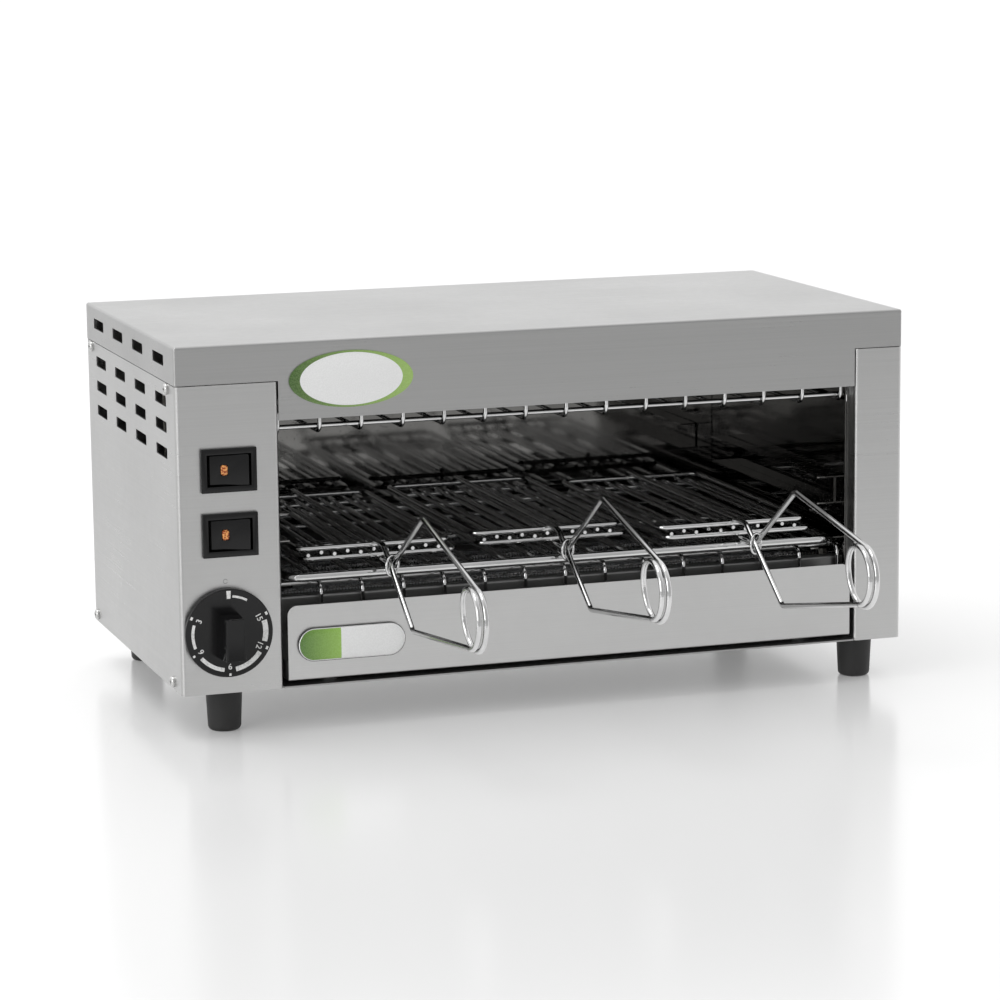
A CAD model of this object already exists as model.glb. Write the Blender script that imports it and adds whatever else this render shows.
import math

import bpy
from mathutils import Matrix, Vector


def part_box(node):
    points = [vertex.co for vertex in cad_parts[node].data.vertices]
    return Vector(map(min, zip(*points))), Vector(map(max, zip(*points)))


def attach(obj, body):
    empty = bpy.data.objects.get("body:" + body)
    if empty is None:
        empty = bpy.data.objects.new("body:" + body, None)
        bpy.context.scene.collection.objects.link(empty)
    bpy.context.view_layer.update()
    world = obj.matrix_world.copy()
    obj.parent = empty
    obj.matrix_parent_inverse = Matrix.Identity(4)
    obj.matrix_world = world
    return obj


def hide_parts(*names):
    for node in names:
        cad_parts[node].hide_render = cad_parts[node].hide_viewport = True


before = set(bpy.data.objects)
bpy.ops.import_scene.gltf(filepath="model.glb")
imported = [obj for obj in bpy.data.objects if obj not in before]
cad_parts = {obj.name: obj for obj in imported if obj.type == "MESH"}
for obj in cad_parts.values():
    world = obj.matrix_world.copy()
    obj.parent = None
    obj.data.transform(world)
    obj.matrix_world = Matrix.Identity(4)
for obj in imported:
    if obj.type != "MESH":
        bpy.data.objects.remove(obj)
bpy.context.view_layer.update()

bl_info = {
    "name": "Toaster oven dressing",
    "version": (1, 0, 0),
    "blender": (4, 5, 0),
    "location": "3D View > Sidebar > Toaster",
    "description": "Finishes, dial, switches, plates and heating coils of an open-fronted toaster oven",
    "category": "Object",
}

PANEL_LOW, PANEL_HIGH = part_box("left_side_panel")
ORIGIN = Vector((PANEL_LOW.x, PANEL_LOW.y, PANEL_LOW.z))
PI = math.pi


# Sizes and colours that a user would change

class FinishSettings(bpy.types.PropertyGroup):
    casing: bpy.props.FloatVectorProperty(
        name="Cover colour", description="Satin steel of the cover and its header",
        default=(0.415, 0.415, 0.412), size=3, subtype="COLOR", min=0.0, max=1.0)
    panels: bpy.props.FloatVectorProperty(
        name="Panel colour", description="Satin steel of the side panels and their columns",
        default=(0.50, 0.50, 0.496), size=3, subtype="COLOR", min=0.0, max=1.0)
    tray: bpy.props.FloatVectorProperty(
        name="Tray colour", description="Smoother steel of the crumb tray",
        default=(0.535, 0.535, 0.531), size=3, subtype="COLOR", min=0.0, max=1.0)
    chamber: bpy.props.FloatVectorProperty(
        name="Chamber colour", description="Heat-darkened mirror of the chamber walls",
        default=(0.20, 0.197, 0.190), size=3, subtype="COLOR", min=0.0, max=1.0)
    chrome: bpy.props.FloatVectorProperty(
        name="Chrome colour", description="Plated wires of the tongs, rack and guards",
        default=(0.66, 0.66, 0.66), size=3, subtype="COLOR", min=0.0, max=1.0)
    plastic: bpy.props.FloatVectorProperty(
        name="Plastic colour", description="Black plastic of the knob and switches",
        default=(0.004, 0.004, 0.0043), size=3, subtype="COLOR", min=0.0, max=1.0)
    lens: bpy.props.FloatVectorProperty(
        name="Lens colour", description="Orange lenses in the rockers",
        default=(0.62, 0.10, 0.010), size=3, subtype="COLOR", min=0.0, max=1.0)


class DialSettings(bpy.types.PropertyGroup):
    arc_radius: bpy.props.FloatProperty(
        name="Arc radius", description="Middle radius of the printed arcs",
        default=0.0229, unit="LENGTH")
    number_size: bpy.props.FloatProperty(
        name="Number size", description="Height of the type used for the minutes",
        default=0.0051, unit="LENGTH")
    print_depth: bpy.props.FloatProperty(
        name="Print depth", description="Thickness of the printed marks",
        default=0.00008, unit="LENGTH")
    print_colour: bpy.props.FloatVectorProperty(
        name="Print colour", description="Colour of the printed marks",
        default=(0.84, 0.84, 0.83), size=3, subtype="COLOR", min=0.0, max=1.0)


class PlateSettings(bpy.types.PropertyGroup):
    green: bpy.props.FloatVectorProperty(
        name="Plate green", description="Green enamel of the two plates",
        default=(0.110, 0.330, 0.030), size=3, subtype="COLOR", min=0.0, max=1.0)
    pale: bpy.props.FloatVectorProperty(
        name="Plate pale", description="Pale enamel of the two plates",
        default=(0.86, 0.865, 0.86), size=3, subtype="COLOR", min=0.0, max=1.0)
    rim: bpy.props.FloatProperty(
        name="Rim width", description="Width of the bright rim round each plate",
        default=0.0010, unit="LENGTH")
    crown: bpy.props.FloatProperty(
        name="Crown", description="How far the oval plate's middle stands out from its rim",
        default=0.0013, unit="LENGTH")


class CoilSettings(bpy.types.PropertyGroup):
    coil_radius: bpy.props.FloatProperty(
        name="Coil radius", description="Radius of the heating coil inside a tube",
        default=0.0019, unit="LENGTH")
    wire_radius: bpy.props.FloatProperty(
        name="Wire radius", description="Radius of the resistance wire",
        default=0.00032, unit="LENGTH")
    pitch: bpy.props.FloatProperty(
        name="Pitch", description="Advance of the coil in one turn",
        default=0.0021, unit="LENGTH")


class StageSettings(bpy.types.PropertyGroup):
    lens: bpy.props.FloatProperty(
        name="Lens", description="Focal length of the camera",
        default=129.3, unit="CAMERA")
    floor: bpy.props.FloatVectorProperty(
        name="Floor colour", description="Colour of the floor",
        default=(0.68, 0.68, 0.68), size=3, subtype="COLOR", min=0.0, max=1.0)
    key: bpy.props.FloatProperty(
        name="Key light", description="Strength of the large soft light above",
        default=16.0, unit="POWER")
    world: bpy.props.FloatProperty(
        name="World", description="Strength of the plain light all round",
        default=1.15, min=0.0)


# Small helpers for modelling by hand in code

def clear_selection():
    """Leaves edit mode and deselects everything."""
    active = bpy.context.view_layer.objects.active
    if active is not None and active.mode != "OBJECT":
        bpy.ops.object.mode_set(mode="OBJECT")
    bpy.ops.object.select_all(action="DESELECT")


def place_mesh(name):
    """Names the object just added and puts its place into its mesh."""
    piece = bpy.context.view_layer.objects.active
    piece.name = name
    piece.data.name = name
    bpy.ops.object.transform_apply(location=True, rotation=True, scale=True)
    return piece


def pick(piece, faces=None, edges=None):
    """Enters edit mode with only the faces, or the edges, that pass the test selected."""
    clear_selection()
    piece.select_set(True)
    bpy.context.view_layer.objects.active = piece
    bpy.ops.object.mode_set(mode="EDIT")
    bpy.ops.mesh.select_mode(type="FACE" if faces else "EDGE")
    bpy.ops.mesh.select_all(action="DESELECT")
    bpy.ops.object.mode_set(mode="OBJECT")
    mesh = piece.data
    if faces:
        for face in mesh.polygons:
            face.select = faces(face.center, face.normal)
    else:
        for edge in mesh.edges:
            ends = [mesh.vertices[i].co for i in edge.vertices]
            edge.select = edges(ends[0], ends[1])
    bpy.ops.object.mode_set(mode="EDIT")


def paint_picked(piece, slot):
    """Gives the selected faces a material slot."""
    piece.active_material_index = slot
    bpy.ops.object.material_slot_assign()


def close_mesh(piece):
    """Merges doubles, turns the faces outwards and leaves edit mode."""
    pick(piece, faces=lambda middle, normal: True)
    bpy.ops.mesh.remove_doubles(threshold=0.000005)
    bpy.ops.mesh.normals_make_consistent(inside=False)
    bpy.ops.object.mode_set(mode="OBJECT")


def soften(piece, width, segments=3, angle=35.0):
    """Rounds the sharp edges and shades the piece smooth between them."""
    clear_selection()
    piece.select_set(True)
    bpy.context.view_layer.objects.active = piece
    bevel = piece.modifiers.new("rounded_edges", "BEVEL")
    bevel.width = width
    bevel.segments = segments
    bevel.limit_method = "ANGLE"
    bevel.angle_limit = math.radians(angle)
    bevel.harden_normals = False
    bpy.ops.object.modifier_apply(modifier=bevel.name)
    bpy.ops.object.shade_smooth_by_angle(angle=math.radians(40.0))


def cut_with(piece, tool, operation):
    """Cuts or trims a piece with another, which is then thrown away."""
    clear_selection()
    piece.select_set(True)
    bpy.context.view_layer.objects.active = piece
    trim = piece.modifiers.new("trim", "BOOLEAN")
    trim.operation = operation
    trim.object = tool
    trim.solver = "EXACT"
    bpy.ops.object.modifier_apply(modifier=trim.name)
    bpy.data.objects.remove(tool, do_unlink=True)


def join(pieces, name):
    """Joins pieces into the first one."""
    clear_selection()
    for piece in pieces:
        piece.select_set(True)
    bpy.context.view_layer.objects.active = pieces[0]
    if len(pieces) > 1:
        bpy.ops.object.join()
    pieces[0].name = name
    pieces[0].data.name = name
    return pieces[0]


def add_box(name, low, high):
    clear_selection()
    middle = [(a + b) / 2.0 for a, b in zip(low, high)]
    size = [b - a for a, b in zip(low, high)]
    bpy.ops.mesh.primitive_cube_add(size=1.0, location=middle, scale=size)
    return place_mesh(name)


def add_drum(name, x, z, radius, back, front, vertices=96, squash=1.0):
    """A drum whose round face looks to the front, at y = front."""
    clear_selection()
    bpy.ops.mesh.primitive_cylinder_add(
        vertices=vertices, radius=radius, depth=back - front,
        location=(x, (back + front) / 2.0, z), rotation=(PI / 2.0, 0.0, 0.0),
        scale=(1.0, squash, 1.0))
    return place_mesh(name)


def faces_front(middle, normal):
    return normal.y < -0.9


def step_inwards(x, z, across, up, forward):
    """Draws a ring inside the picked front face and moves its inner face forward."""
    bpy.ops.mesh.inset(thickness=0.00002)
    bpy.ops.transform.resize(value=(across, 1.0, up), center_override=(x, 0.0, z))
    bpy.ops.transform.translate(value=(0.0, -forward, 0.0))


def turn_about(piece, pivot, angle):
    """Turns a finished piece about an upright line and puts the turn into its mesh."""
    clear_selection()
    piece.select_set(True)
    bpy.context.view_layer.objects.active = piece
    turn = Matrix.Rotation(angle, 3, "Z")
    piece.rotation_euler = (0.0, 0.0, angle)
    piece.location = pivot - turn @ pivot
    bpy.ops.object.transform_apply(location=True, rotation=True, scale=True)


def copy_piece(piece, name, offset):
    """A copy with its own mesh, moved by an offset."""
    clear_selection()
    piece.select_set(True)
    bpy.context.view_layer.objects.active = piece
    bpy.ops.object.duplicate(linked=False)
    copy = bpy.context.view_layer.objects.active
    copy.name = name
    copy.data.name = name
    copy.location = offset
    bpy.ops.object.transform_apply(location=True, rotation=True, scale=True)
    return copy


# Small helpers for materials

def start_material(name):
    material = bpy.data.materials.new(name)
    material.use_nodes = True
    tree = material.node_tree
    return material, tree, tree.nodes["Principled BSDF"]


def object_space(tree, scale=(1.0, 1.0, 1.0), rotation=(0.0, 0.0, 0.0), location=(0.0, 0.0, 0.0)):
    coordinates = tree.nodes.new("ShaderNodeTexCoord")
    mapping = tree.nodes.new("ShaderNodeMapping")
    mapping.inputs["Scale"].default_value = scale
    mapping.inputs["Rotation"].default_value = rotation
    mapping.inputs["Location"].default_value = location
    tree.links.new(coordinates.outputs["Object"], mapping.inputs["Vector"])
    return mapping.outputs["Vector"]


def noise(tree, vector, scale, detail=3.0, roughness=0.55):
    texture = tree.nodes.new("ShaderNodeTexNoise")
    texture.inputs["Scale"].default_value = scale
    texture.inputs["Detail"].default_value = detail
    texture.inputs["Roughness"].default_value = roughness
    tree.links.new(vector, texture.inputs["Vector"])
    return texture.outputs["Fac"]


def spread(tree, value, low, high, start=0.3, end=0.7):
    """Maps a noise value onto the range from low to high."""
    node = tree.nodes.new("ShaderNodeMapRange")
    node.inputs["From Min"].default_value = start
    node.inputs["From Max"].default_value = end
    node.inputs["To Min"].default_value = low
    node.inputs["To Max"].default_value = high
    tree.links.new(value, node.inputs["Value"])
    return node.outputs["Result"]


def combine(tree, operation, first, second):
    node = tree.nodes.new("ShaderNodeMath")
    node.operation = operation
    for socket, value in zip(node.inputs, (first, second)):
        if isinstance(value, (int, float)):
            socket.default_value = value
        else:
            tree.links.new(value, socket)
    return node.outputs["Value"]


def blend_colours(tree, factor, first, second):
    node = tree.nodes.new("ShaderNodeMix")
    node.data_type = "RGBA"
    tree.links.new(factor, node.inputs["Factor"])
    for socket, colour in ((node.inputs[6], first), (node.inputs[7], second)):
        if isinstance(colour, bpy.types.NodeSocket):
            tree.links.new(colour, socket)
        else:
            socket.default_value = (*colour[:3], 1.0)
    return node.outputs[2]


def raise_surface(tree, shader, height, strength, distance):
    bump = tree.nodes.new("ShaderNodeBump")
    bump.inputs["Strength"].default_value = strength
    bump.inputs["Distance"].default_value = distance
    tree.links.new(height, bump.inputs["Height"])
    tree.links.new(bump.outputs["Normal"], shader.inputs["Normal"])


def shade(colour, amount):
    return [min(1.0, channel * amount) for channel in colour[:3]]


# Materials

def brushed_steel(name, colour, roughness, grain, depth=0.05):
    """Satin steel whose brushed lines run along the axis with the small grain scale."""
    material, tree, shader = start_material(name)
    fine = noise(tree, object_space(tree, grain), 1.0, 2.0, 0.6)
    cloud = noise(tree, object_space(tree), 9.0, 4.0, 0.55)
    speck = noise(tree, object_space(tree, (1.0, 1.0, 1.0)), 160.0, 3.0, 0.6)
    tone = blend_colours(tree, spread(tree, fine, 0.0, 1.0), shade(colour, 0.955), shade(colour, 1.03))
    tone = blend_colours(tree, spread(tree, cloud, 0.0, 0.22), tone, shade(colour, 0.90))
    tree.links.new(tone, shader.inputs["Base Color"])
    rough = combine(
        tree, "ADD", spread(tree, fine, roughness - 0.05, roughness + 0.06),
        combine(tree, "ADD", spread(tree, cloud, -0.03, 0.04), spread(tree, speck, -0.015, 0.02)))
    tree.links.new(rough, shader.inputs["Roughness"])
    raise_surface(tree, shader, fine, depth, 0.0002)
    shader.inputs["Metallic"].default_value = 1.0
    return material


def mirror_steel(name, colour, roughness):
    """Heat-darkened polished sheet with faint waves, straw tints and baked-on specks."""
    material, tree, shader = start_material(name)
    haze = noise(tree, object_space(tree), 14.0, 4.0, 0.6)
    wave = noise(tree, object_space(tree), 5.0, 1.0, 0.4)
    speck = noise(tree, object_space(tree), 420.0, 2.0, 0.5)
    tone = blend_colours(tree, spread(tree, haze, 0.0, 1.0), colour, shade(colour, 0.62))
    tone = blend_colours(
        tree, spread(tree, speck, 0.0, 0.5, 0.62, 0.78), tone, shade(colour, 0.35))
    tree.links.new(tone, shader.inputs["Base Color"])
    rough = combine(tree, "ADD", spread(tree, haze, roughness - 0.02, roughness + 0.04),
                    spread(tree, speck, 0.0, 0.08, 0.6, 0.8))
    tree.links.new(rough, shader.inputs["Roughness"])
    raise_surface(tree, shader, wave, 0.05, 0.002)
    shader.inputs["Metallic"].default_value = 1.0
    return material


def plated_wire(name, colour, roughness=0.07):
    """Bright plating with fine drawing lines and a few dull, heated patches."""
    material, tree, shader = start_material(name)
    patch = noise(tree, object_space(tree), 22.0, 3.0, 0.55)
    fine = noise(tree, object_space(tree), 900.0, 2.0, 0.5)
    tone = blend_colours(tree, spread(tree, patch, 0.0, 0.7), colour, shade(colour, 0.74))
    tree.links.new(tone, shader.inputs["Base Color"])
    rough = combine(tree, "ADD", spread(tree, patch, roughness - 0.03, roughness + 0.08),
                    spread(tree, fine, -0.01, 0.02))
    tree.links.new(rough, shader.inputs["Roughness"])
    raise_surface(tree, shader, fine, 0.04, 0.0001)
    shader.inputs["Metallic"].default_value = 1.0
    return material


def moulded_plastic(name, colour, roughness, grain_scale=700.0, depth=0.08, coat=0.0, shine=0.5):
    """Moulded plastic with a fine texture, handling marks and slight tone changes."""
    material, tree, shader = start_material(name)
    grain = noise(tree, object_space(tree), grain_scale, 3.0, 0.6)
    smear = noise(tree, object_space(tree), 45.0, 4.0, 0.6)
    tone = blend_colours(tree, spread(tree, smear, 0.0, 1.0), colour, shade(colour, 1.35))
    tree.links.new(tone, shader.inputs["Base Color"])
    rough = combine(tree, "ADD", spread(tree, smear, roughness - 0.04, roughness + 0.08),
                    spread(tree, grain, -0.03, 0.03))
    tree.links.new(rough, shader.inputs["Roughness"])
    raise_surface(tree, shader, grain, depth, 0.0002)
    shader.inputs["Specular IOR Level"].default_value = shine
    shader.inputs["Coat Weight"].default_value = coat
    shader.inputs["Coat Roughness"].default_value = 0.12
    return material


def foot_rubber(name):
    material, tree, shader = start_material(name)
    grain = noise(tree, object_space(tree), 520.0, 4.0, 0.65)
    dust = noise(tree, object_space(tree), 60.0, 4.0, 0.6)
    tone = blend_colours(tree, spread(tree, dust, 0.0, 1.0), (0.007, 0.007, 0.007), (0.020, 0.0195, 0.019))
    tree.links.new(tone, shader.inputs["Base Color"])
    tree.links.new(spread(tree, dust, 0.48, 0.72), shader.inputs["Roughness"])
    raise_surface(tree, shader, grain, 0.25, 0.0003)
    return material


def quartz_glass(name):
    """Drawn quartz with faint lines along the tube and a milky bloom."""
    material, tree, shader = start_material(name)
    lines = noise(tree, object_space(tree, (3.0, 900.0, 900.0)), 1.0, 2.0, 0.5)
    bloom = noise(tree, object_space(tree), 30.0, 3.0, 0.6)
    tone = blend_colours(tree, spread(tree, bloom, 0.0, 1.0), (0.93, 0.94, 0.95), (0.80, 0.81, 0.82))
    tree.links.new(tone, shader.inputs["Base Color"])
    tree.links.new(spread(tree, bloom, 0.02, 0.08), shader.inputs["Roughness"])
    tree.links.new(spread(tree, bloom, 0.99, 0.96), shader.inputs["Transmission Weight"])
    raise_surface(tree, shader, lines, 0.05, 0.0002)
    shader.inputs["IOR"].default_value = 1.46
    return material


def ceramic(name):
    material, tree, shader = start_material(name)
    grain = noise(tree, object_space(tree), 380.0, 4.0, 0.6)
    stain = noise(tree, object_space(tree), 55.0, 3.0, 0.6)
    tone = blend_colours(tree, spread(tree, stain, 0.0, 1.0), (0.72, 0.70, 0.66), (0.58, 0.55, 0.50))
    tree.links.new(tone, shader.inputs["Base Color"])
    tree.links.new(spread(tree, grain, 0.55, 0.75), shader.inputs["Roughness"])
    raise_surface(tree, shader, grain, 0.2, 0.0003)
    return material


def heating_alloy(name):
    material, tree, shader = start_material(name)
    scale = noise(tree, object_space(tree), 260.0, 3.0, 0.6)
    tone = blend_colours(tree, spread(tree, scale, 0.0, 1.0), (0.20, 0.18, 0.16), (0.10, 0.085, 0.075))
    tree.links.new(tone, shader.inputs["Base Color"])
    tree.links.new(spread(tree, scale, 0.35, 0.6), shader.inputs["Roughness"])
    shader.inputs["Metallic"].default_value = 1.0
    return material


def sleeve_braid(name):
    """Braided glass sleeve over the leads: two crossing sets of fine threads."""
    material, tree, shader = start_material(name)
    waves = []
    for turn in (0.7, -0.7):
        wave = tree.nodes.new("ShaderNodeTexWave")
        wave.inputs["Scale"].default_value = 240.0
        wave.inputs["Distortion"].default_value = 1.5
        tree.links.new(object_space(tree, rotation=(turn, turn, 0.6)), wave.inputs["Vector"])
        waves.append(wave.outputs["Fac"])
    weave = combine(tree, "MULTIPLY", waves[0], waves[1])
    tone = blend_colours(tree, weave, (0.48, 0.46, 0.42), (0.70, 0.68, 0.63))
    tree.links.new(tone, shader.inputs["Base Color"])
    tree.links.new(spread(tree, weave, 0.75, 0.6), shader.inputs["Roughness"])
    raise_surface(tree, shader, weave, 0.3, 0.0003)
    return material


def orange_lens(name, colour):
    """Moulded lens with a beaded inside that catches light in small spots."""
    material, tree, shader = start_material(name)
    cells = tree.nodes.new("ShaderNodeTexVoronoi")
    cells.inputs["Scale"].default_value = 900.0
    tree.links.new(object_space(tree), cells.inputs["Vector"])
    bead = cells.outputs["Distance"]
    tone = blend_colours(tree, spread(tree, bead, 0.0, 0.8, 0.45, 0.65), shade(colour, 0.45), (0.95, 0.45, 0.14))
    tree.links.new(tone, shader.inputs["Base Color"])
    tree.links.new(tone, shader.inputs["Emission Color"])
    shader.inputs["Emission Strength"].default_value = 0.03
    tree.links.new(spread(tree, bead, 0.15, 0.3, 0.1, 0.7), shader.inputs["Roughness"])
    raise_surface(tree, shader, bead, 0.3, 0.0003)
    return material


def printed_ink(name, colour):
    material, tree, shader = start_material(name)
    wear = noise(tree, object_space(tree), 700.0, 3.0, 0.6)
    tone = blend_colours(tree, spread(tree, wear, 0.0, 1.0, 0.5, 0.75), colour, shade(colour, 0.6))
    tree.links.new(tone, shader.inputs["Base Color"])
    tree.links.new(spread(tree, wear, 0.45, 0.6), shader.inputs["Roughness"])
    return material


def enamel(name, colour, low_x, high_x, lighter):
    """Glossy enamel that grows lighter from one side of a plate to the other."""
    material, tree, shader = start_material(name)
    coordinates = tree.nodes.new("ShaderNodeTexCoord")
    split = tree.nodes.new("ShaderNodeSeparateXYZ")
    tree.links.new(coordinates.outputs["Object"], split.inputs["Vector"])
    across = spread(tree, split.outputs["X"], 0.0, 1.0, low_x, high_x)
    flake = noise(tree, object_space(tree), 1500.0, 2.0, 0.5)
    tone = blend_colours(tree, across, colour, lighter)
    tone = blend_colours(tree, spread(tree, flake, 0.0, 0.12), tone, shade(lighter, 1.2))
    tree.links.new(tone, shader.inputs["Base Color"])
    tree.links.new(spread(tree, flake, 0.22, 0.32), shader.inputs["Roughness"])
    shader.inputs["Coat Weight"].default_value = 0.5
    shader.inputs["Coat Roughness"].default_value = 0.08
    return material


def finish_materials(settings):
    """Every finish of the CAD pieces, by the record's slot names."""
    along_x = (6.0, 1600.0, 1600.0)
    flat_lines = (6.0, 6.0, 1600.0)
    return {
        "casing_steel": brushed_steel("satin_steel", settings.panels, 0.33, flat_lines),
        "cover_steel": brushed_steel("satin_steel_cover", settings.casing, 0.33, along_x),
        "tray_steel": brushed_steel("satin_steel_tray", settings.tray, 0.36, along_x),
        "base_steel": brushed_steel("satin_steel_base", shade(settings.casing, 0.85), 0.42, along_x),
        "sill_steel": brushed_steel("satin_steel_sill", shade(settings.casing, 0.60), 0.40, along_x),
        "chamber_steel": mirror_steel("chamber_mirror", settings.chamber, 0.05),
        "screw_steel": brushed_steel("screw_steel", (0.62, 0.62, 0.61), 0.28, (300.0, 300.0, 300.0)),
        "foot_rubber": foot_rubber("foot_rubber"),
        "quartz": quartz_glass("quartz_glass"),
        "ceramic": ceramic("cap_ceramic"),
        "heating_wire": heating_alloy("heating_alloy"),
        "chrome_wire": plated_wire("chrome_wire", settings.chrome),
        "black_plastic": moulded_plastic("black_moulding", settings.plastic, 0.16, shine=0.30),
        "timer_case": moulded_plastic("timer_case", (0.55, 0.54, 0.50), 0.5),
        "orange_lens": orange_lens("amber_lens", settings.lens),
        "gland_plastic": moulded_plastic("gland_plastic", (0.035, 0.035, 0.036), 0.42, 500.0, 0.15),
        "terminal_plastic": moulded_plastic("terminal_plastic", (0.62, 0.60, 0.55), 0.45),
        "lead_insulation": sleeve_braid("lead_sleeve"),
        "badge_metal": plated_wire("plate_rim_metal", (0.78, 0.78, 0.78), 0.12),
    }


# Pieces

def ring_sector(name, x, z, y, inner, outer, spans, thickness):
    """Parts of a flat ring between angles, clockwise from the top in degrees."""
    clear_selection()
    count = 240
    bpy.ops.mesh.primitive_circle_add(
        vertices=count, radius=outer, fill_type="NGON", location=(x, y, z), rotation=(PI / 2.0, 0.0, 0.0))
    piece = place_mesh(name)
    pick(piece, faces=lambda middle, normal: True)
    bpy.ops.mesh.inset(thickness=outer - inner, depth=0.0, use_even_offset=True)

    def unwanted(middle, normal):
        away = Vector((middle.x - x, middle.z - z))
        if away.length < 0.4 * inner:
            return True
        angle = math.degrees(math.atan2(away.x, away.y)) % 360.0
        return not any(low <= angle <= high for low, high in spans)

    pick(piece, faces=unwanted)
    bpy.ops.mesh.delete(type="FACE")
    bpy.ops.mesh.select_all(action="SELECT")
    bpy.ops.mesh.extrude_region_move(TRANSFORM_OT_translate={"value": (0.0, -thickness, 0.0)})
    close_mesh(piece)
    return piece


def stroke_of_type(name, body, size, place, turn, thickness):
    """A plain numeral that faces the front, turned clockwise about its middle."""
    clear_selection()
    bpy.ops.object.text_add(location=(0.0, 0.0, 0.0))
    numeral = bpy.context.view_layer.objects.active
    numeral.data.body = body
    numeral.data.size = size
    numeral.data.align_x = "CENTER"
    numeral.data.align_y = "CENTER"
    numeral.data.extrude = thickness
    numeral.data.offset = size * 0.012
    bpy.ops.object.convert(target="MESH")
    numeral = bpy.context.view_layer.objects.active
    numeral.rotation_euler = (PI / 2.0, turn, 0.0)
    numeral.location = place
    bpy.ops.object.transform_apply(location=True, rotation=True, scale=True)
    numeral.name = name
    return numeral


class TOASTER_OT_finishes(bpy.types.Operator):
    """Give every CAD piece its finish"""
    bl_idname = "toaster.finishes"
    bl_label = "Finishes"

    def execute(self, context):
        finishes = finish_materials(context.scene.toaster_finish)
        own = {"top_cover": "cover_steel", "crumb_tray": "tray_steel", "base_plate": "base_steel",
               "front_sill": "sill_steel", "rack_rails": "chamber_steel", "timer_shaft": "screw_steel"}
        for name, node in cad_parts.items():
            for slot in node.material_slots:
                key = own.get(name, slot.material.name.split(".")[0])
                if key not in finishes:
                    key = "badge_metal" if key.startswith("badge") else "casing_steel"
                slot.material = finishes[key]
        return {"FINISHED"}


class TOASTER_OT_knob(bpy.types.Operator):
    """Model the timer's knob: a flat skirt and a tapered bar to grip"""
    bl_idname = "toaster.knob"
    bl_label = "Timer knob"

    def execute(self, context):
        low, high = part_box("timer_knob")
        x, z = (low.x + high.x) / 2.0, (low.z + high.z) / 2.0
        radius = (high.x - low.x) / 2.0
        face = high.y - 0.004
        skirt = add_drum("timer_knob_dressed", x, z, radius, high.y, face)
        pick(skirt, faces=faces_front)
        bpy.ops.mesh.inset(thickness=0.0014)
        bpy.ops.transform.translate(value=(0.0, 0.00025, 0.0))
        close_mesh(skirt)
        soften(skirt, 0.0006, 3, 25.0)
        middle = z - 0.0015
        grip = add_box("knob_grip", (x - 0.0078, low.y, z - 0.0146), (x + 0.0078, face + 0.0005, z + 0.0116))
        pick(grip, faces=faces_front)
        bpy.ops.transform.resize(value=(0.80, 1.0, 0.985), center_override=(x, low.y, middle))
        bpy.ops.mesh.inset(thickness=0.0012)
        bpy.ops.transform.translate(value=(0.0, 0.0004, 0.0))
        pick(grip, faces=lambda place, normal: normal.z > 0.8)
        bpy.ops.transform.resize(value=(0.84, 1.0, 1.0), center_override=(x, low.y, z))
        close_mesh(grip)
        soften(grip, 0.0008, 3, 25.0)
        knob = join([skirt, grip], "timer_knob_dressed")
        knob.data.materials.clear()
        knob.data.materials.append(bpy.data.materials["black_moulding"])
        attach(knob, "knob")
        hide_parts("timer_knob")
        return {"FINISHED"}


class TOASTER_OT_dial(bpy.types.Operator):
    """Print the minutes, arcs and ticks on the knob's skirt"""
    bl_idname = "toaster.dial"
    bl_label = "Dial print"

    def execute(self, context):
        settings = context.scene.toaster_dial
        low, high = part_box("timer_knob")
        x, z = (low.x + high.x) / 2.0, (low.z + high.z) / 2.0
        radius = (high.x - low.x) / 2.0
        face = high.y - 0.00375 - 0.00001
        thin = settings.print_depth
        middle = settings.arc_radius
        bands = (
            (0.0014, ((6.0, 30.0),)),
            (0.0018, ((249.0, 286.0),)),
            (0.0024, ((189.0, 231.0),)),
            (0.0029, ((124.0, 171.0),)),
            (0.0033, ((74.0, 106.0),)),
        )
        marks = []
        for number, (width, spans) in enumerate(bands):
            marks.append(ring_sector(
                f"arc_{number}", x, z, face, middle - width / 2.0, middle + width / 2.0, spans, thin))
        ticks = (65.0, 115.0, 180.0, 240.0, 295.0)
        spans = [(tick - 1.9, tick + 1.9) for tick in ticks]
        marks.append(ring_sector("ticks", x, z, face, radius - 0.0024, radius - 0.0009, spans, thin))
        marks.append(ring_sector(
            "zero", x, z, face - 0.00001, middle - 0.0014, radius - 0.0011, ((0.0, 2.4), (357.6, 360.0)), thin))
        for body, angle in (("15", 65.0), ("12", 115.0), ("9", 180.0), ("6", 240.0), ("3", 295.0)):
            turn = math.radians(angle)
            place = (x + 0.9 * middle * math.sin(turn), face - thin / 2.0, z + 0.9 * middle * math.cos(turn))
            marks.append(stroke_of_type(
                "minute_" + body, body, settings.number_size, place, turn, thin / 2.0))
        print_mesh = join(marks, "dial_print")
        ink = printed_ink("dial_ink", settings.print_colour)
        print_mesh.data.materials.clear()
        print_mesh.data.materials.append(ink)
        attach(print_mesh, "knob")
        index = ring_sector(
            "dial_index", x - 0.0006, z + radius + 0.0040, PANEL_LOW.y - 0.00002, 0.0011, 0.0015,
            ((0.0, 70.0), (110.0, 360.0)), 0.00006)
        index.data.materials.append(printed_ink("index_ink", (0.26, 0.26, 0.26)))
        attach(index, "oven")
        return {"FINISHED"}


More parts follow.
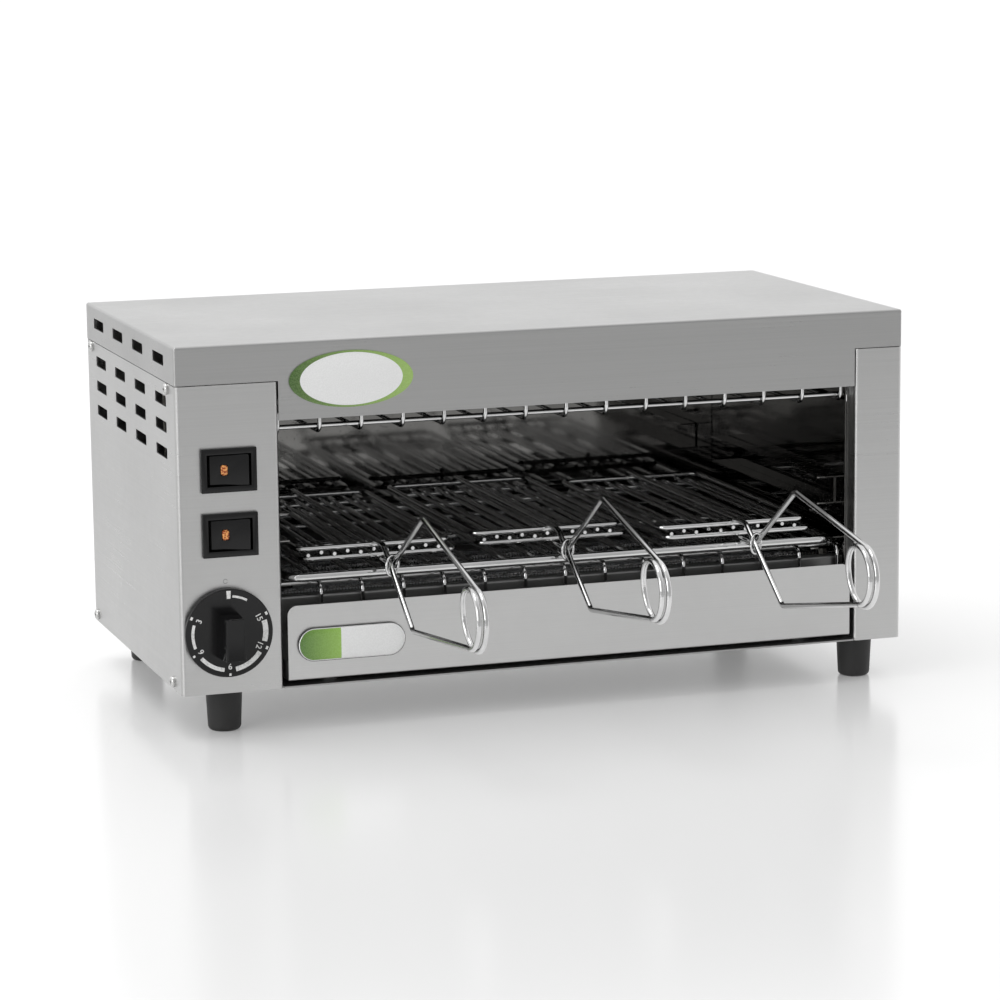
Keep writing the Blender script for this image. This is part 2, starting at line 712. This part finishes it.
class TOASTER_OT_switches(bpy.types.Operator):
    """Model the rockers, their lenses and the moulded frames round them"""
    bl_idname = "toaster.switches"
    bl_label = "Switches"

    def execute(self, context):
        plastic = bpy.data.materials["black_moulding"]
        low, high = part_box("lower_switch_housing")
        x, z = (low.x + high.x) / 2.0, (low.z + high.z) / 2.0
        front = PANEL_LOW.y
        pivot = Vector((x, front + 0.0030, z))
        bezel = self.bezel(low, high, front)
        rocker = self.rocker(x, z, front)
        lens = self.lens(x, z, front)
        for piece in (rocker, lens):
            turn_about(piece, pivot, math.radians(-7.0))
        for piece in (bezel, rocker):
            piece.data.materials.clear()
            piece.data.materials.append(plastic)
        lens.data.materials.append(bpy.data.materials["amber_lens"])
        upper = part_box("upper_switch_housing")
        rise = Vector((0.0, 0.0, upper[0].z - low.z))
        for level, offset in (("upper", rise), ("lower", None)):
            pieces = [bezel, rocker, lens]
            if offset is not None:
                pieces = [copy_piece(piece, "upper" + piece.name[5:], offset) for piece in pieces]
            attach(pieces[0], "oven")
            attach(pieces[1], "rocker_" + level)
            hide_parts(level + "_rocker")
            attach(pieces[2], "rocker_" + level)
            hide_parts(level + "_neon_lens")
        return {"FINISHED"}

    def bezel(self, low, high, front):
        """Frame with a softly rounded face and a slanted inner edge."""
        proud = low.y - 0.00025
        frame_piece = add_box("lower_bezel", (low.x - 0.0002, proud, low.z - 0.0002),
                              (high.x + 0.0002, front - 0.00002, high.z + 0.0002))
        opening = add_box("opening", (low.x + 0.00335, proud - 0.01, low.z + 0.00345),
                          (high.x - 0.00335, front + 0.01, high.z - 0.00345))
        cut_with(frame_piece, opening, "DIFFERENCE")
        close_mesh(frame_piece)
        soften(frame_piece, 0.0006, 3, 30.0)
        return frame_piece

    def rocker(self, x, z, front):
        """Rocker with a shallow valley in its face, nearer to the pressed side."""
        piece = add_box("lower_rocker_dressed", (x - 0.0116, front - 0.0028, z - 0.0095),
                        (x + 0.0128, front + 0.0042, z + 0.0095))
        pick(piece, faces=lambda middle, normal: True)
        valley = x - 0.0034
        bpy.ops.mesh.bisect(plane_co=(valley, 0.0, 0.0), plane_no=(1.0, 0.0, 0.0))
        pick(piece, edges=lambda a, b: abs(a.x - valley) < 0.0001 and abs(b.x - valley) < 0.0001
             and a.y < front - 0.002 and b.y < front - 0.002)
        bpy.ops.transform.translate(value=(0.0, 0.0021, 0.0))
        pick(piece, faces=lambda middle, normal: normal.x < -0.9)
        bpy.ops.transform.resize(value=(1.0, 1.0, 0.985), center_override=(x, front, z))
        pick(piece, edges=lambda a, b: a.x < x - 0.0115 and b.x < x - 0.0115
             and a.y < front and b.y < front)
        bpy.ops.transform.translate(value=(0.0, 0.0012, 0.0))
        close_mesh(piece)
        soften(piece, 0.0009, 4, 50.0)
        pocket = add_box("pocket", (x - 0.0044, front - 0.006, z - 0.0032), (x - 0.0001, front + 0.0012, z + 0.0032))
        cut_with(piece, pocket, "DIFFERENCE")
        clear_selection()
        piece.select_set(True)
        bpy.context.view_layer.objects.active = piece
        bpy.ops.object.shade_smooth_by_angle(angle=math.radians(30.0))
        return piece

    def lens(self, x, z, front):
        """Lens with a domed, rounded face."""
        piece = add_box("lower_lens", (x - 0.0043, front - 0.0016, z - 0.0031),
                        (x - 0.0002, front + 0.0010, z + 0.0031))
        pick(piece, edges=lambda a, b: abs(a.y - b.y) > 0.0005)
        bpy.ops.mesh.bevel(offset=0.0015, segments=6, affect="EDGES")
        pick(piece, faces=faces_front)
        for step in range(3):
            step_inwards(x - 0.00225, z, 0.86, 0.90, 0.00028 - 0.00008 * step)
        bpy.ops.mesh.poke()
        close_mesh(piece)
        bpy.ops.object.shade_smooth_by_angle(angle=math.radians(60.0))
        return piece


class TOASTER_OT_oval_plate(bpy.types.Operator):
    """Model the plain oval plate on the header, with a bright rim and a crowned enamel face"""
    bl_idname = "toaster.oval_plate"
    bl_label = "Oval plate"

    def execute(self, context):
        settings = context.scene.toaster_plates
        low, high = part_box("oval_badge")
        x, z = (low.x + high.x) / 2.0, (low.z + high.z) / 2.0
        wide, tall = (high.x - low.x) / 2.0, (high.z - low.z) / 2.0
        base = low.y + 0.0007
        plate = add_drum("oval_plate", x, z, wide, high.y, base, 128, tall / wide)
        green = enamel("plate_green", shade(settings.green, 0.26), low.x, high.x, (0.34, 0.52, 0.14))
        pale = enamel("plate_pale", shade(settings.pale, 0.96), low.x, high.x, settings.pale)
        for material in (green, pale):
            plate.data.materials.append(material)
        pick(plate, faces=faces_front)
        rings = [(0.985, 0.975, 0.00012, 0), (0.955, 0.965, 0.00020, 0), (0.90, 0.952, 0.00016, 0)]
        for part in (0.0, 0.15, 0.30, 0.45, 0.60, 0.75, 0.90):
            across = 0.83 * (1.0 - part)
            rise = settings.crown * (1.0 - (1.0 - part) ** 2)
            rings.append((across, 0.935 * (1.0 - part), 0.00012 + rise, 1))
        across, up, depth = 1.0, 1.0, 0.0
        for ring_across, ring_up, place, slot in rings:
            step_inwards(x, z, ring_across / across, ring_up / up, place - depth)
            paint_picked(plate, slot)
            across, up, depth = ring_across, ring_up, place
        bpy.ops.mesh.poke()
        close_mesh(plate)
        clear_selection()
        plate.select_set(True)
        bpy.context.view_layer.objects.active = plate
        bpy.ops.object.shade_smooth_by_angle(angle=math.radians(35.0))
        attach(plate, "oven")
        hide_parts("oval_badge")
        return {"FINISHED"}


class TOASTER_OT_pill_plate(bpy.types.Operator):
    """Model the plain pill-shaped plate on the tray, green at one end and pale at the other"""
    bl_idname = "toaster.pill_plate"
    bl_label = "Pill plate"

    def execute(self, context):
        settings = context.scene.toaster_plates
        low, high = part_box("pill_badge")
        radius = (high.z - low.z) / 2.0
        z = (low.z + high.z) / 2.0
        plate = add_box("pill_plate", tuple(low), tuple(high))
        pick(plate, edges=lambda a, b: abs(a.y - b.y) > 0.0005)
        bpy.ops.mesh.bevel(offset=radius * 0.995, segments=20, affect="EDGES")
        bpy.ops.object.mode_set(mode="OBJECT")
        rim_metal = bpy.data.materials["plate_rim_metal"]
        meet = low.x + 0.40 * (high.x - low.x)
        green = enamel("pill_green", shade(settings.green, 0.45), low.x, meet, (0.30, 0.52, 0.09))
        pale = enamel("pill_pale", settings.pale, meet, high.x, shade(settings.pale, 0.93))
        dark = bpy.data.materials["black_moulding"]
        for material in (dark, green, pale, rim_metal):
            plate.data.materials.append(material)
        pick(plate, faces=faces_front)
        bpy.ops.mesh.inset(thickness=settings.rim * 0.35, depth=0.0001)
        paint_picked(plate, 3)
        bpy.ops.mesh.inset(thickness=settings.rim * 0.35, depth=0.00025)
        bpy.ops.mesh.inset(thickness=settings.rim * 0.2, depth=-0.0001)
        edge = settings.rim * 0.9
        inner = radius - edge
        for inset, rise in ((0.0006, 0.00022), (0.0010, 0.00018), (0.0016, 0.00012)):
            bpy.ops.mesh.inset(thickness=inset, depth=rise)

        def inside(middle):
            """Whether a place on the face lies within the enamel, well inside the rim."""
            beyond = max(0.0, low.x + radius - middle.x, middle.x - (high.x - radius))
            return math.hypot(beyond, middle.z - z) < inner - 0.0001

        for place in (meet - 0.00025, meet + 0.00025):
            pick(plate, faces=lambda middle, normal: normal.y < -0.5 and inside(middle))
            bpy.ops.mesh.bisect(plane_co=(place, 0.0, 0.0), plane_no=(1.0, 0.0, 0.0))
        pick(plate, faces=lambda middle, normal: normal.y < -0.5 and inside(middle) and middle.x < meet - 0.00025)
        paint_picked(plate, 1)
        pick(plate, faces=lambda middle, normal: normal.y < -0.5 and inside(middle) and middle.x > meet - 0.00025)
        paint_picked(plate, 2)
        close_mesh(plate)
        clear_selection()
        plate.select_set(True)
        bpy.context.view_layer.objects.active = plate
        bpy.ops.object.shade_smooth_by_angle(angle=math.radians(35.0))
        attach(plate, "tray")
        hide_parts("pill_badge")
        return {"FINISHED"}


class TOASTER_OT_heating_coils(bpy.types.Operator):
    """Wind the fine coil in each quartz tube"""
    bl_idname = "toaster.heating_coils"
    bl_label = "Heating coils"

    def execute(self, context):
        settings = context.scene.toaster_coils
        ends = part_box("heating_filaments")
        coils = []
        first = None
        for row in ("lower", "upper"):
            for place in ("front", "middle", "rear"):
                low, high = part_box(f"{row}_quartz_tube_{place}")
                y, z = (low.y + high.y) / 2.0, (low.z + high.z) / 2.0
                length = high.x - low.x - 0.012
                start = low.x + 0.006
                if first is None:
                    clear_selection()
                    bpy.ops.mesh.primitive_circle_add(
                        vertices=5, radius=settings.wire_radius, location=(start, y, z))
                    coil = bpy.context.view_layer.objects.active
                    bpy.ops.object.mode_set(mode="EDIT")
                    bpy.ops.transform.translate(value=(0.0, settings.coil_radius, 0.0))
                    bpy.ops.object.mode_set(mode="OBJECT")
                    turns = int(length / settings.pitch)
                    winding = coil.modifiers.new("winding", "SCREW")
                    winding.axis = "X"
                    winding.screw_offset = length / turns
                    winding.iterations = turns
                    winding.steps = 9
                    winding.render_steps = 9
                    bpy.ops.object.modifier_apply(modifier=winding.name)
                    coil.name = "heating_coil"
                    first = (coil, Vector((start, y, z)))
                else:
                    clear_selection()
                    first[0].select_set(True)
                    bpy.context.view_layer.objects.active = first[0]
                    bpy.ops.object.duplicate(linked=False)
                    coil = bpy.context.view_layer.objects.active
                    coil.location = (start, y, z)
                coils.append((coil, low, high, y, z))
        made = []
        for number, (coil, low, high, y, z) in enumerate(coils):
            clear_selection()
            coil.select_set(True)
            bpy.context.view_layer.objects.active = coil
            bpy.ops.object.transform_apply(location=True, rotation=True, scale=True)
            made.append(coil)
            for near, far in ((ends[0].x, low.x + 0.0068), (high.x - 0.0068, ends[1].x)):
                clear_selection()
                bpy.ops.mesh.primitive_cylinder_add(
                    vertices=16, radius=0.0011, depth=far - near,
                    location=((near + far) / 2.0, y, z), rotation=(0.0, PI / 2.0, 0.0))
                stub = place_mesh(f"stub_{number}")
                soften(stub, 0.0003, 2, 40.0)
                made.append(stub)
        wires = join(made, "heating_coils")
        pick(wires, faces=lambda middle, normal: True)
        bpy.ops.mesh.normals_make_consistent(inside=False)
        bpy.ops.object.mode_set(mode="OBJECT")
        bpy.ops.object.shade_smooth_by_angle(angle=math.radians(60.0))
        wires.data.materials.clear()
        wires.data.materials.append(bpy.data.materials["heating_alloy"])
        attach(wires, "oven")
        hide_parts("heating_filaments")
        return {"FINISHED"}


class TOASTER_OT_stage(bpy.types.Operator):
    """Set the floor, the lights, the world and the camera"""
    bl_idname = "toaster.stage"
    bl_label = "Stage"

    def execute(self, context):
        settings = context.scene.toaster_stage
        clear_selection()
        bpy.ops.mesh.primitive_plane_add(size=30.0, location=(0.0, 0.0, 0.0))
        floor = place_mesh("floor")
        floor.data.materials.append(self.floor_material(settings))
        self.world(settings)
        self.lamp("key_light", (-0.9, 0.2, 2.6), (0.05, 0.0, 0.1), 1.3, settings.key)
        self.lamp("fill_light", (-2.4, -1.2, 1.0), (0.0, 0.0, 0.1), 1.6, settings.key * 1.4)
        self.camera(settings)
        return {"FINISHED"}

    def floor_material(self, settings):
        """Glossy white floor that keeps the object's shadow and a soft reflection."""
        material, tree, shader = start_material("floor")
        soft = noise(tree, object_space(tree), 1.5, 1.0)
        tree.links.new(spread(tree, soft, 0.17, 0.20), shader.inputs["Roughness"])
        shader.inputs["Base Color"].default_value = (*settings.floor, 1.0)
        glow = tree.nodes.new("ShaderNodeEmission")
        path = tree.nodes.new("ShaderNodeLightPath")
        seen = combine(tree, "MULTIPLY", path.outputs["Is Camera Ray"], 0.15)
        split = tree.nodes.new("ShaderNodeSeparateXYZ")
        tree.links.new(object_space(tree), split.inputs["Vector"])
        near = combine(tree, "MULTIPLY", spread(tree, split.outputs["Y"], 0.0, 0.34, -1.0, -0.35),
                       spread(tree, split.outputs["X"], 0.0, 1.0, -0.35, -0.15))
        mirrored = combine(tree, "MULTIPLY", path.outputs["Is Glossy Ray"], near)
        tree.links.new(combine(tree, "ADD", seen, mirrored), glow.inputs["Strength"])
        total = tree.nodes.new("ShaderNodeAddShader")
        tree.links.new(shader.outputs["BSDF"], total.inputs[0])
        tree.links.new(glow.outputs["Emission"], total.inputs[1])
        tree.links.new(total.outputs["Shader"], tree.nodes["Material Output"].inputs["Surface"])
        return material

    def world(self, settings):
        """Plain light all round, dimmer from the front, behind a white background."""
        world = bpy.data.worlds.new("studio")
        bpy.context.scene.world = world
        world.use_nodes = True
        tree = world.node_tree
        background = tree.nodes["Background"]
        coordinates = tree.nodes.new("ShaderNodeTexCoord")
        split = tree.nodes.new("ShaderNodeSeparateXYZ")
        tree.links.new(coordinates.outputs["Generated"], split.inputs["Vector"])
        front = spread(tree, split.outputs["Y"], 0.52, 1.0, -0.7, 0.2)
        path = tree.nodes.new("ShaderNodeLightPath")
        level = combine(tree, "MULTIPLY", front, settings.world)
        seen = combine(tree, "MAXIMUM", path.outputs["Is Camera Ray"], level)
        tree.links.new(seen, background.inputs["Strength"])
        background.inputs["Color"].default_value = (1.0, 1.0, 1.0, 1.0)

    def lamp(self, name, place, target, size, power):
        light = bpy.data.lights.new(name, "AREA")
        light.shape = "SQUARE"
        light.size = size
        light.energy = power
        holder = bpy.data.objects.new(name, light)
        bpy.context.scene.collection.objects.link(holder)
        holder.location = place
        away = Vector(place) - Vector(target)
        holder.rotation_euler = away.to_track_quat("Z", "Y").to_euler()

    def camera(self, settings):
        """The photograph's viewing angle."""
        azimuth, height, roll = (math.radians(angle) for angle in (-18.42, 9.99, -0.61))
        back = Vector((
            math.sin(azimuth) * math.cos(height), -math.cos(azimuth) * math.cos(height), math.sin(height)))
        right = (-back).cross(Vector((0.0, 0.0, 1.0))).normalized()
        up = right.cross(-back)
        across = right * math.cos(roll) + up * math.sin(roll)
        upright = up * math.cos(roll) - right * math.sin(roll)
        data = bpy.data.cameras.new("camera")
        data.lens = settings.lens
        data.sensor_width = 36.0
        data.clip_start = 0.05
        data.clip_end = 60.0
        holder = bpy.data.objects.new("camera", data)
        bpy.context.scene.collection.objects.link(holder)
        place = ORIGIN + Vector((-0.4913, -2.0935, 0.4974))
        holder.matrix_world = Matrix((
            (across.x, upright.x, back.x, place.x),
            (across.y, upright.y, back.y, place.y),
            (across.z, upright.z, back.z, place.z),
            (0.0, 0.0, 0.0, 1.0)))
        bpy.context.scene.camera = holder
        bpy.context.scene.view_settings.view_transform = "Standard"


class TOASTER_PT_panel(bpy.types.Panel):
    bl_label = "Toaster"
    bl_idname = "TOASTER_PT_panel"
    bl_space_type = "VIEW_3D"
    bl_region_type = "UI"
    bl_category = "Toaster"

    def draw(self, context):
        for step in STEPS:
            self.layout.operator(step.bl_idname)
        for name in ("toaster_finish", "toaster_dial", "toaster_plates", "toaster_coils", "toaster_stage"):
            settings = getattr(context.scene, name)
            box = self.layout.box()
            for key in settings.__annotations__:
                box.prop(settings, key)


STEPS = (
    TOASTER_OT_finishes, TOASTER_OT_knob, TOASTER_OT_dial, TOASTER_OT_switches,
    TOASTER_OT_oval_plate, TOASTER_OT_pill_plate, TOASTER_OT_heating_coils, TOASTER_OT_stage,
)
GROUPS = {
    "toaster_finish": FinishSettings,
    "toaster_dial": DialSettings,
    "toaster_plates": PlateSettings,
    "toaster_coils": CoilSettings,
    "toaster_stage": StageSettings,
}


def register():
    for group in GROUPS.values():
        bpy.utils.register_class(group)
    for step in STEPS:
        bpy.utils.register_class(step)
    bpy.utils.register_class(TOASTER_PT_panel)
    for name, group in GROUPS.items():
        setattr(bpy.types.Scene, name, bpy.props.PointerProperty(type=group))


def unregister():
    for name in GROUPS:
        delattr(bpy.types.Scene, name)
    bpy.utils.unregister_class(TOASTER_PT_panel)
    for step in reversed(STEPS):
        bpy.utils.unregister_class(step)
    for group in reversed(list(GROUPS.values())):
        bpy.utils.unregister_class(group)


def main():
    register()
    bpy.ops.toaster.finishes()
    bpy.ops.toaster.knob()
    bpy.ops.toaster.dial()
    bpy.ops.toaster.switches()
    bpy.ops.toaster.oval_plate()
    bpy.ops.toaster.pill_plate()
    bpy.ops.toaster.heating_coils()
    bpy.ops.toaster.stage()


if __name__ == "__main__":
    main()
